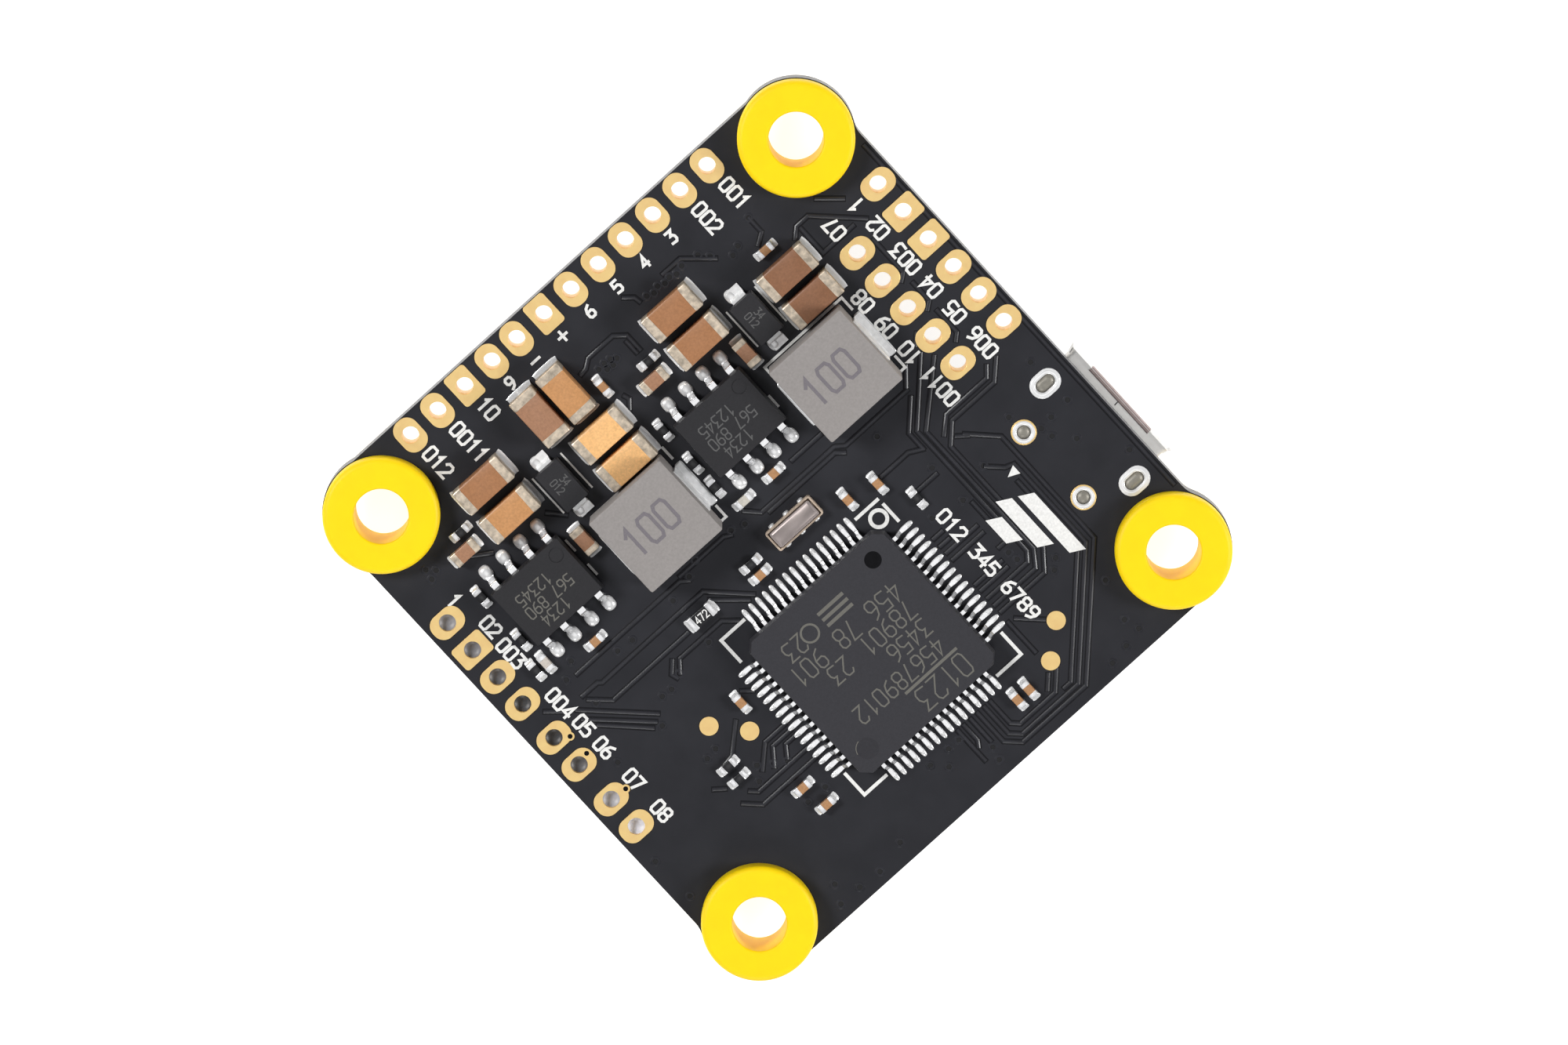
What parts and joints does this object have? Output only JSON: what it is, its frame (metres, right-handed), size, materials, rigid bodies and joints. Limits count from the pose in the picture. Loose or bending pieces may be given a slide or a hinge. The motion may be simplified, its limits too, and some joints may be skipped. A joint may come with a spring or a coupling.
{
  "type": "flight controller board",
  "caption": "Square flight controller circuit board with soft-mounted corner holes, solder pads along its edges, a USB socket and a boot button underneath.",
  "frame": {"origin": "centre of the four mounting holes, on the board's lower face", "axes": "+Z leaves the processor side; +Y points at the long row of solder pads; +X points at the USB socket"},
  "size_m": [0.0372, 0.037, 0.0076],
  "materials": {
    "button_black": "black nylon",
    "ceramic_brown": "fired capacitor ceramic, brown to tan",
    "ceramic_white": "white alumina",
    "connector_cream": "natural nylon",
    "gold_plate": "immersion gold over copper, satin",
    "inductor_grey": "pressed iron-alloy powder, warm grey, fine grain",
    "led_white": "clear epoxy over white substrate",
    "mould_black": "matt moulded epoxy, fine grain, laser-marked numerals",
    "nickel_shell": "nickel-plated steel sheet",
    "resistor_black": "black resistor glaze",
    "silicone": "bright yellow soft silicone, matte",
    "solder_mask": "satin black solder mask over glass-epoxy laminate, tracks showing as slight relief",
    "tin": "bright tin plate and solder"
  },
  "bodies": {
    "board": {"barometer_base": "ceramic_white", "barometer_lid": "nickel_shell", "boot_button_base": "button_black", "boot_button_cover": "nickel_shell", "boot_button_dome": "nickel_shell", "boot_button_terminals": "tin", "bulk_capacitor_ends": "tin", "bulk_capacitors": "ceramic_brown", "chip_resistor_ends": "tin", "chip_resistors": "resistor_black", "circuit_board": "solder_mask", "converter_left_body": "mould_black", "converter_left_leads": "tin", "converter_right_body": "mould_black", "converter_right_leads": "tin", "crystal": "nickel_shell", "decoupling_capacitor_ends": "tin", "decoupling_capacitors": "ceramic_brown", "diode_left_body": "mould_black", "diode_left_leads": "tin", "diode_right_body": "mould_black", "diode_right_leads": "tin", "esc_socket_anchors": "tin", "esc_socket_contacts": "tin", "esc_socket_housing": "connector_cream", "filter_capacitor_ends": "tin", "filter_capacitors": "ceramic_brown", "flash_chip": "mould_black", "front_pads": "gold_plate", "grommet_front_left": "silicone", "grommet_front_right": "silicone", "grommet_rear_left": "silicone", "grommet_rear_right": "silicone", "inductor_left_body": "inductor_grey", "inductor_left_terminals": "tin", "inductor_right_body": "inductor_grey", "inductor_right_terminals": "tin", "left_pads": "gold_plate", "mcu_body": "mould_black", "mcu_leads": "tin", "motion_sensor": "mould_black", "osd_chip_body": "mould_black", "osd_chip_leads": "tin", "pull_up_resistor": "resistor_black", "pull_up_resistor_ends": "tin", "regulator_bodies": "mould_black", "regulator_leads": "tin", "resonator_base": "ceramic_white", "resonator_lid": "nickel_shell", "right_inner_pads": "gold_plate", "right_outer_pads": "gold_plate", "status_leds": "led_white", "test_pads": "gold_plate", "under_capacitors": "ceramic_brown", "usb_contacts": "gold_plate", "usb_mounting_pads": "tin", "usb_shell": "nickel_shell", "usb_tab_solder": "tin", "usb_tongue": "button_black"},
    "boot_button": {"boot_button_plunger": "button_black"}
  },
  "joints": [
    {"name": "boot_button_press", "type": "slide", "parent": "board", "child": "boot_button", "axis": [0, 0, 1], "range_m": [0, 0.00025], "stiffness_N_per_m": 6000, "deforming": ["boot_button_dome"]}
  ]
}
